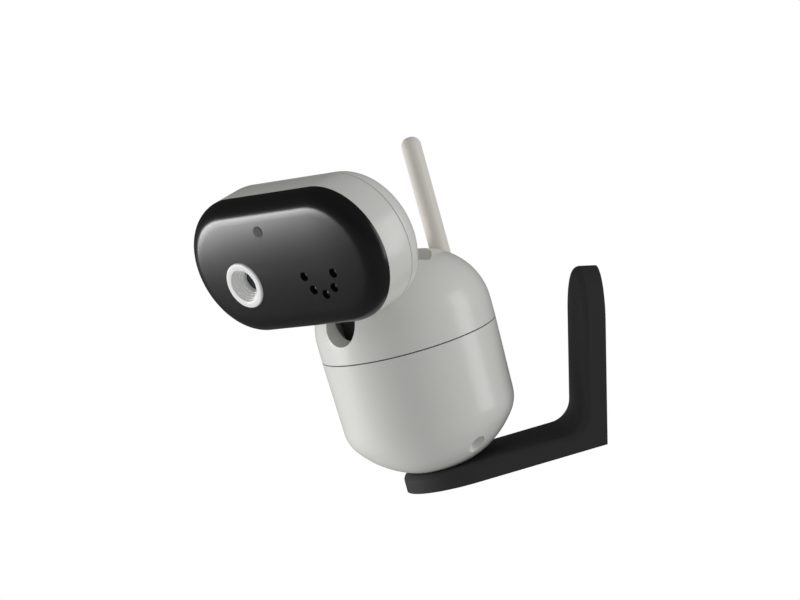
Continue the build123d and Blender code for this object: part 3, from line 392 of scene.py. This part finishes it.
def coated_glass(name):
    """Dark coated glass that shifts from violet to green over its bulge."""
    _, tree, shader = new_surface(name)
    set_sockets(shader, {"Roughness": 0.03, "Coat Weight": 1.0, "Coat Roughness": 0.01})
    facing = tree.nodes.new("ShaderNodeLayerWeight")
    set_sockets(facing, {"Blend": 0.35})
    tint = tree.nodes.new("ShaderNodeValToRGB")
    tint.color_ramp.elements[0].color = (0.004, 0.005, 0.012, 1)
    tint.color_ramp.elements[1].color = (0.05, 0.02, 0.10, 1)
    middle = tint.color_ramp.elements.new(0.55)
    middle.color = (0.008, 0.030, 0.024, 1)
    tree.links.new(facing.outputs["Facing"], tint.inputs["Fac"])
    tree.links.new(tint.outputs["Color"], shader.inputs["Base Color"])


def printed_board(name):
    """Green solder mask with copper tracks just showing through."""
    tree = moulding(name, BOARD).node_tree
    base = tree.nodes["Principled BSDF"].inputs["Base Color"]
    drift = base.links[0].from_socket
    place = tree.nodes.new("ShaderNodeTexCoord")
    tracks = tree.nodes.new("ShaderNodeTexBrick")
    set_sockets(tracks, {
        "Scale": 220.0, "Mortar Size": 0.06, "Color1": (0, 0, 0, 1),
        "Color2": (0.25, 0.25, 0.25, 1), "Mortar": (1, 1, 1, 1)})
    mix = tree.nodes.new("ShaderNodeMix")
    mix.data_type = "RGBA"
    mix.inputs["B"].default_value = (0.04, 0.20, 0.06, 1)
    tree.links.new(place.outputs["Object"], tracks.inputs["Vector"])
    tree.links.new(tracks.outputs["Color"], mix.inputs["Factor"])
    tree.links.new(drift, mix.inputs["A"])
    tree.links.new(mix.outputs["Result"], base)


# ---------------------------------------------------------------- modelling helpers
def finished_piece(bm, name, body, slot, matrix, soft_angle=CASING_EDGE):
    """Turns a bmesh into a shaded piece in its place, riding on a body."""
    bmesh.ops.transform(bm, matrix=matrix, verts=bm.verts)
    bmesh.ops.remove_doubles(bm, verts=bm.verts, dist=SAME_POINT)
    bmesh.ops.recalc_face_normals(bm, faces=bm.faces)
    mesh = emptied(bm, name)
    mesh.shade_smooth()
    mesh.set_sharp_from_angle(angle=radians(soft_angle))
    piece = placed_object(name, mesh)
    mesh.materials.append(bpy.data.materials[slot])
    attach(piece, body)
    return piece


def emptied(bm, name):
    """Mesh that holds what a bmesh held, which is freed."""
    mesh = bpy.data.meshes.new(name)
    bm.to_mesh(mesh)
    bm.free()
    return mesh


def placed_object(name, data):
    """Object in the scene that holds a mesh, light or camera."""
    made = bpy.data.objects.new(name, data)
    bpy.context.scene.collection.objects.link(made)
    return made


def pill_ring(bm, radius, depth, half_span):
    """Pill outline across the head: a circle whose halves are moved apart sideways."""
    turned = Matrix.Translation((0, depth, 0)) @ Matrix.Rotation(pi / 2, 4, "X")
    turned = turned @ Matrix.Rotation(pi / ROUND_STEPS, 4, "Z")
    made = bmesh.ops.create_circle(
        bm, cap_ends=False, radius=radius, segments=ROUND_STEPS, matrix=turned)
    for vert in made["verts"]:
        vert.co.x += half_span if vert.co.x > 0 else -half_span
    return list({edge for vert in made["verts"] for edge in vert.link_edges})


def pill_skin(profile, half_span, closed=False):
    """Skin through pill outlines, given as (radius, depth); a closed one ends where it starts."""
    bm = bmesh.new()
    first = ring = pill_ring(bm, *profile[0], half_span)
    path = profile + profile[:1] if closed else profile
    for (radius, _), (next_radius, next_depth) in zip(path, path[1:]):
        made = bmesh.ops.extrude_edge_only(bm, edges=ring)["geom"]
        fresh = {item for item in made if isinstance(item, bmesh.types.BMVert)}
        for vert in fresh:
            middle = half_span if vert.co.x > 0 else -half_span
            vert.co.x = middle + (vert.co.x - middle) * next_radius / radius
            vert.co.z *= next_radius / radius
            vert.co.y = next_depth
        ring = [item for item in made
                if isinstance(item, bmesh.types.BMEdge) and fresh.issuperset(item.verts)]
    if closed:
        bmesh.ops.remove_doubles(bm, verts=bm.verts, dist=SAME_POINT)
    else:
        for end in (first, ring):
            bmesh.ops.contextual_create(bm, geom=end)
    bmesh.ops.recalc_face_normals(bm, faces=bm.faces)
    return bm


def arc(centre, radius, start, end, steps):
    """Points of an arc as (radius, depth); degrees, with 0 outwards and 90 to the back."""
    turns = [radians(start + (end - start) * step / steps) for step in range(steps + 1)]
    return [(centre[0] + radius * cos(turn), centre[1] + radius * sin(turn)) for turn in turns]


def turned_skin(profile, middle, steps=ROUND_STEPS):
    """Full turn of (radius, depth) points about an axis along Y through a point of the head."""
    bm = bmesh.new()
    verts = [bm.verts.new((radius, depth, 0)) for radius, depth in profile]
    edges = [bm.edges.new(pair) for pair in zip(verts, verts[1:])]
    if min(profile[0][0], profile[-1][0]) > SAME_POINT:
        edges.append(bm.edges.new((verts[-1], verts[0])))
    bmesh.ops.spin(bm, geom=verts + edges, cent=(0, 0, 0), axis=(0, 1, 0), angle=2 * pi,
                   steps=steps, use_merge=True)
    bmesh.ops.remove_doubles(bm, verts=bm.verts, dist=SAME_POINT)
    bmesh.ops.translate(bm, vec=middle, verts=bm.verts)
    return bm


def bored(bm, holes):
    """Cuts round holes, given as (x, z, radius), through a skin from front to back."""
    drills = bmesh.new()
    for x, z, radius in holes:
        place = Matrix.Translation((x, 0, z)) @ Matrix.Rotation(pi / 2, 4, "X")
        bmesh.ops.create_cone(drills, cap_ends=True, segments=DRILL_STEPS, radius1=radius,
                              radius2=radius, depth=DRILL_LENGTH, matrix=place)
    block = placed_object("block", emptied(bm, "block"))
    cutter = placed_object("drills", emptied(drills, "drills"))
    cut = block.modifiers.new("bores", "BOOLEAN")
    cut.operation, cut.solver, cut.object = "DIFFERENCE", "EXACT", cutter
    bpy.context.view_layer.update()
    result = bmesh.new()
    result.from_object(block, bpy.context.evaluated_depsgraph_get())
    for used in (block, cutter):
        mesh = used.data
        bpy.data.objects.remove(used)
        bpy.data.meshes.remove(mesh)
    return result


def light_spots():
    """Places of the infrared lights, a half circle open at the top."""
    lens = bpy.context.scene.monitor_lens
    turns = [pi + pi * i / (lens.lights - 1) for i in range(lens.lights)]
    return [(lens.light_place[0] + lens.light_circle * cos(turn),
             lens.light_place[1] + lens.light_circle * sin(turn)) for turn in turns]


# ---------------------------------------------------------------- operators
class PrepareFinishes(bpy.types.Operator):
    """Makes the shared effects and one material for each slot, and fills the frame's slots"""
    bl_idname = "monitor.prepare_finishes"
    bl_label = "Prepare finishes"

    def execute(self, context):
        for make in (tone_drift_group, handling_marks_group, mould_grain_group):
            make()
        # Known fault: the frame's own plain materials already have the slots' names. These get
        # a suffix, so the lookups by slot, here and in finished_piece, find the plain ones, and
        # neither these materials nor FinishColours shows on any piece.
        for slot, finish in FINISHES.items():
            moulding(slot, finish)
        coated_glass("glass")
        printed_board("board")
        slot_of = {part["node"]: part["material_slot"] for part in frame["record"]["subparts"]}
        for name, node in frame["nodes"].items():
            node.data.materials.clear()
            node.data.materials.append(bpy.data.materials[slot_of[name]])
        return {"FINISHED"}


class BuildBezel(bpy.types.Operator):
    """Piano black front of the head, crowned and rounded, with its bores"""
    bl_idname = "monitor.build_bezel"
    bl_label = "Black front"

    def execute(self, context):
        head, lens = context.scene.monitor_head, context.scene.monitor_lens
        radius, half_span = head.outline
        last = 90 - FACE_LEAN
        flat = radius - head.bezel_round
        edge = -(head.bezel_depth - head.crown - head.bezel_round * sin(radians(last)))
        outside = [(radius, 0.0)]
        outside += arc((flat, edge), head.bezel_round, 0, -last, BEZEL_ARC_STEPS)
        inner = outside[-1][0]
        face = [(inner * share, -head.bezel_depth + head.crown * share ** 2)
                for share in CROWN_RINGS]
        behind = head.wall + head.crown - head.bezel_depth
        back = [(CROWN_RINGS[-1] * inner, behind), (flat, behind),
                (radius - head.wall, edge), (radius - head.wall, 0.0)]
        bm = pill_skin(back + outside + face, half_span)
        holes = [(*lens.place, lens.ring_radius + HOLE_PLAY),
                 (*lens.window_place, lens.window_radius)]
        holes += [(x, z, lens.light_radius) for x, z in light_spots()]
        piece = finished_piece(bored(bm, holes), "black_front", "head", "bezel", head_frame())
        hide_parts("front_bezel")
        return {"FINISHED"}


class BuildHeadShells(bpy.types.Operator):
    """White shell and back cover of the head, which meet at a fine parting line"""
    bl_idname = "monitor.build_head_shells"
    bl_label = "Head shells"

    def execute(self, context):
        head = context.scene.monitor_head
        radius, half_span = head.outline
        inside, eased = radius - head.wall, radius - EDGE_EASE
        shell = arc((eased, EDGE_EASE), EDGE_EASE, -90, 0, EASE_STEPS)
        shell += arc((eased, head.parting - EDGE_EASE), EDGE_EASE, 0, 90, EASE_STEPS)
        shell += [(inside, head.parting), (inside, 0.0)]
        front = finished_piece(pill_skin(shell, half_span, closed=True), "head_front_shell",
                               "head", "casing", head_frame())
        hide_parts("head_shell")
        start, lip_end = head.parting + PARTING_GAP, head.parting - LIP_DEPTH
        middle, turn = radius - head.back_round, head.depth - head.back_round
        cover = [(BACK_RING * middle, head.depth - head.wall)]
        cover += arc((middle, turn), head.back_round - head.wall, 90, 0, INNER_ARC_STEPS)
        cover += [(inside - LIP_STEP, start), (inside - LIP_STEP, lip_end),
                  (inside - LIP_PLAY, lip_end), (inside - LIP_PLAY, start)]
        cover += arc((eased, start + EDGE_EASE), EDGE_EASE, -90, 0, EASE_STEPS)
        cover += arc((middle, turn), head.back_round, BACK_EASE, 90, BACK_ARC_STEPS)
        cover += [(BACK_RING * middle, head.depth)]
        back = finished_piece(pill_skin(cover, half_span), "head_rear_cover",
                              "head", "casing", head_frame())
        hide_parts("head_back_cover")
        return {"FINISHED"}


class BuildLens(bpy.types.Operator):
    """White ring with its ribbed bore, and the coated front glass"""
    bl_idname = "monitor.build_lens"
    bl_label = "Lens ring and glass"

    def execute(self, context):
        head, lens = context.scene.monitor_head, context.scene.monitor_lens
        middle = (lens.place[0], 0, lens.place[1])
        front = -head.bezel_depth - lens.ring_proud
        back = front + lens.ring_depth + RING_LAND
        outside = [(lens.throat, back), (lens.ring_radius, back)]
        outside += arc((lens.ring_radius - RING_RIM, front + RING_RIM), RING_RIM, 0, -90,
                       RIM_ARC_STEPS)
        ring = finished_piece(turned_skin(self.bore(lens, front) + outside, middle),
                              "white_lens_ring", "head", "ring_plastic", head_frame(), TURNED_EDGE)
        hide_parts("lens_ring")
        glass = turned_skin(self.glass(lens.throat - GLASS_PLAY, back), middle, GLASS_STEPS)
        piece = finished_piece(glass, "coated_lens", "head", "glass", head_frame())
        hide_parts("lens_glass")
        return {"FINISHED"}

    @staticmethod
    def bore(lens, front):
        """Profile of the stepped bore, from the mouth to the throat."""
        rise = lens.ring_depth / lens.ring_steps
        run = (lens.mouth - lens.throat) / (lens.ring_steps - 1)
        ease = RIB_EASE * run
        points = arc((lens.mouth + ease, front + ease), ease, -90, -180, RIB_STEPS)
        for step in range(1, lens.ring_steps):
            radius, depth = lens.mouth - run * step, front + rise * step
            points += [(radius + run, depth - RIB_FOOT * rise),
                       (radius + run - RIB_LEAN * run, depth)]
            points += arc((radius + ease, depth + ease), ease, -90, -180, RIB_STEPS)
        return points

    @staticmethod
    def glass(radius, seat):
        """Profile of the glass: a ball's cap in front of a short cylinder."""
        ball = (radius ** 2 + GLASS_SAG ** 2) / 2 / GLASS_SAG
        half_turn = atan(radius / (ball - GLASS_SAG))
        turns = [half_turn * step / BULGE_STEPS for step in range(BULGE_STEPS + 1)]
        bulge = [(ball * sin(turn), seat - GLASS_SAG + ball - ball * cos(turn)) for turn in turns]
        return bulge + [(radius, seat + GLASS_BODY), (0.0, seat + GLASS_BODY)]


class BuildLights(bpy.types.Operator):
    """Domed infrared lights behind their holes"""
    bl_idname = "monitor.build_lights"
    bl_label = "Infrared lights"

    def execute(self, context):
        head, lens = context.scene.monitor_head, context.scene.monitor_lens
        radius, front = lens.light_radius - LIGHT_PLAY, LIGHT_SUNK - head.bezel_depth
        turns = [radians(turn) for turn in range(DOME_STEP, 91, DOME_STEP)]
        profile = [(0.0, front)]
        profile += [(radius * sin(turn), front + LIGHT_DOME * (1 - cos(turn))) for turn in turns]
        profile += [(radius, LIGHT_FOOT - LIGHT_COLLAR), (radius, LIGHT_FOOT), (0.0, LIGHT_FOOT)]
        lights = bmesh.new()
        for x, z in light_spots():
            mesh = emptied(turned_skin(profile, (x, 0, z), LIGHT_STEPS), "one_light")
            lights.from_mesh(mesh)
            bpy.data.meshes.remove(mesh)
        piece = finished_piece(lights, "infrared_lights", "head", "led_lens", head_frame(),
                               TURNED_EDGE)
        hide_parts("ir_leds")
        return {"FINISHED"}


class BuildStage(bpy.types.Operator):
    """Pale floor, soft studio lights and the camera"""
    bl_idname = "monitor.build_stage"
    bl_label = "Stage"

    def execute(self, context):
        floor = bmesh.new()
        bmesh.ops.create_grid(floor, x_segments=1, y_segments=1, size=FLOOR_REACH)
        ground = placed_object("floor", emptied(floor, "floor"))
        ground.location.z = cad_low.z - FLOOR_DROP
        pale, tree, shader = new_surface("pale_floor")
        set_sockets(shader, {
            "Base Color": (0, 0, 0, 1), "Specular IOR Level": 0.0, "Emission Color": (1, 1, 1, 1)})
        tree.links.new(self.by_ray(tree, *FLOOR_LEVELS), shader.inputs["Emission Strength"])
        ground.data.materials.append(pale)
        self.light_room(context)
        for name, place, size, watts, mirrored, scattered in (
            ("key_panel", (-0.20, -0.68, -0.235), (0.40, 0.22), 3.2, False, True),
            ("gloss_card", (-0.10, -0.70, -0.155), (0.27, 0.095), 1.3, True, False),
            ("wall_panel", (0.25, 0.95, 0.30), (0.5, 0.9), 3.5, True, True),
        ):
            panel = self.soft_panel(name, Vector(place), size, watts)
            panel.visible_glossy, panel.visible_diffuse = mirrored, scattered
        self.sight(context)
        context.scene.view_settings.view_transform = "Standard"
        return {"FINISHED"}

    @staticmethod
    def by_ray(tree, scattered, mirrored, seen):
        """Value that differs between light that scatters, what gloss mirrors and what is seen."""
        ray = tree.nodes.new("ShaderNodeLightPath")
        gloss, sight = tree.nodes.new("ShaderNodeMapRange"), tree.nodes.new("ShaderNodeMapRange")
        set_sockets(gloss, {"To Min": scattered, "To Max": mirrored})
        set_sockets(sight, {"To Max": seen})
        tree.links.new(ray.outputs["Is Glossy Ray"], gloss.inputs["Value"])
        tree.links.new(gloss.outputs["Result"], sight.inputs["To Min"])
        tree.links.new(ray.outputs["Is Camera Ray"], sight.inputs["Value"])
        return sight.outputs["Result"]

    @classmethod
    def light_room(cls, context):
        """White surroundings, dimmer as light than as what the camera sees."""
        world = bpy.data.worlds.new("white_room")
        world.use_nodes = True
        tree = world.node_tree
        shader = tree.nodes["Background"]
        shader.inputs["Color"].default_value = (1, 1, 1, 1)
        tree.links.new(cls.by_ray(tree, *ROOM_LEVELS), shader.inputs["Strength"])
        context.scene.world = world

    @staticmethod
    def soft_panel(name, place, size, watts):
        """Rectangular soft light that faces the middle of the object."""
        data = bpy.data.lights.new(name, "AREA")
        data.shape, data.energy = "RECTANGLE", watts
        data.size, data.size_y = size
        panel = placed_object(name, data)
        target = (cad_low + cad_high) / 2
        panel.location = place
        panel.rotation_euler = (target - place).to_track_quat("-Z", "Y").to_euler()
        return panel

    @staticmethod
    def sight(context):
        """Long lens nearly side on to the bracket, a little above it and leaning slightly."""
        azimuth, elevation, lean = radians(84.15), radians(7.73), radians(-1.45)
        aim, shift_right, shift_up, away = Vector((0, -0.055, 0.001)), -0.02507, 0.01746, 1.2048
        back = Vector((sin(azimuth) * cos(elevation), -cos(azimuth) * cos(elevation),
                       sin(elevation)))
        right = Vector((cos(azimuth), sin(azimuth), 0))
        up = back.cross(right)
        across = right * cos(lean) + up * sin(lean)
        over = up * cos(lean) - right * sin(lean)
        data = bpy.data.cameras.new("sight")
        data.lens, data.sensor_width = 135.0, 36.0
        camera = placed_object("sight", data)
        rows = Matrix((across, over, back)).transposed().to_4x4()
        place = aim + across * shift_right + over * shift_up + back * away
        camera.matrix_world = Matrix.Translation(place) @ rows
        context.scene.camera = camera


class MonitorPanel(bpy.types.Panel):
    """Lists the steps that build the camera"""
    bl_idname = "VIEW3D_PT_monitor"
    bl_label = "Baby monitor camera"
    bl_space_type = "VIEW_3D"
    bl_region_type = "UI"
    bl_category = "Camera"

    def draw(self, context):
        for step in STEPS:
            self.layout.operator(step.bl_idname)
        for sizes in ("monitor_head", "monitor_lens", "monitor_finish"):
            group = getattr(context.scene, sizes)
            for label in group.__annotations__:
                self.layout.prop(group, label)


STEPS = (PrepareFinishes, BuildBezel, BuildHeadShells, BuildLens, BuildLights, BuildStage)
GROUPS = {"monitor_head": HeadSizes, "monitor_lens": LensSizes, "monitor_finish": FinishColours}


def register():
    for name, group in GROUPS.items():
        bpy.utils.register_class(group)
        setattr(bpy.types.Scene, name, bpy.props.PointerProperty(type=group))
    for step in STEPS:
        bpy.utils.register_class(step)
    bpy.utils.register_class(MonitorPanel)


def unregister():
    bpy.utils.unregister_class(MonitorPanel)
    for step in reversed(STEPS):
        bpy.utils.unregister_class(step)
    for name, group in GROUPS.items():
        delattr(bpy.types.Scene, name)
        bpy.utils.unregister_class(group)


def main():
    """Builds every piece in order."""
    register()
    bpy.ops.monitor.prepare_finishes()
    bpy.ops.monitor.build_bezel()
    bpy.ops.monitor.build_head_shells()
    bpy.ops.monitor.build_lens()
    bpy.ops.monitor.build_lights()
    bpy.ops.monitor.build_stage()


if __name__ == "__main__":
    main()
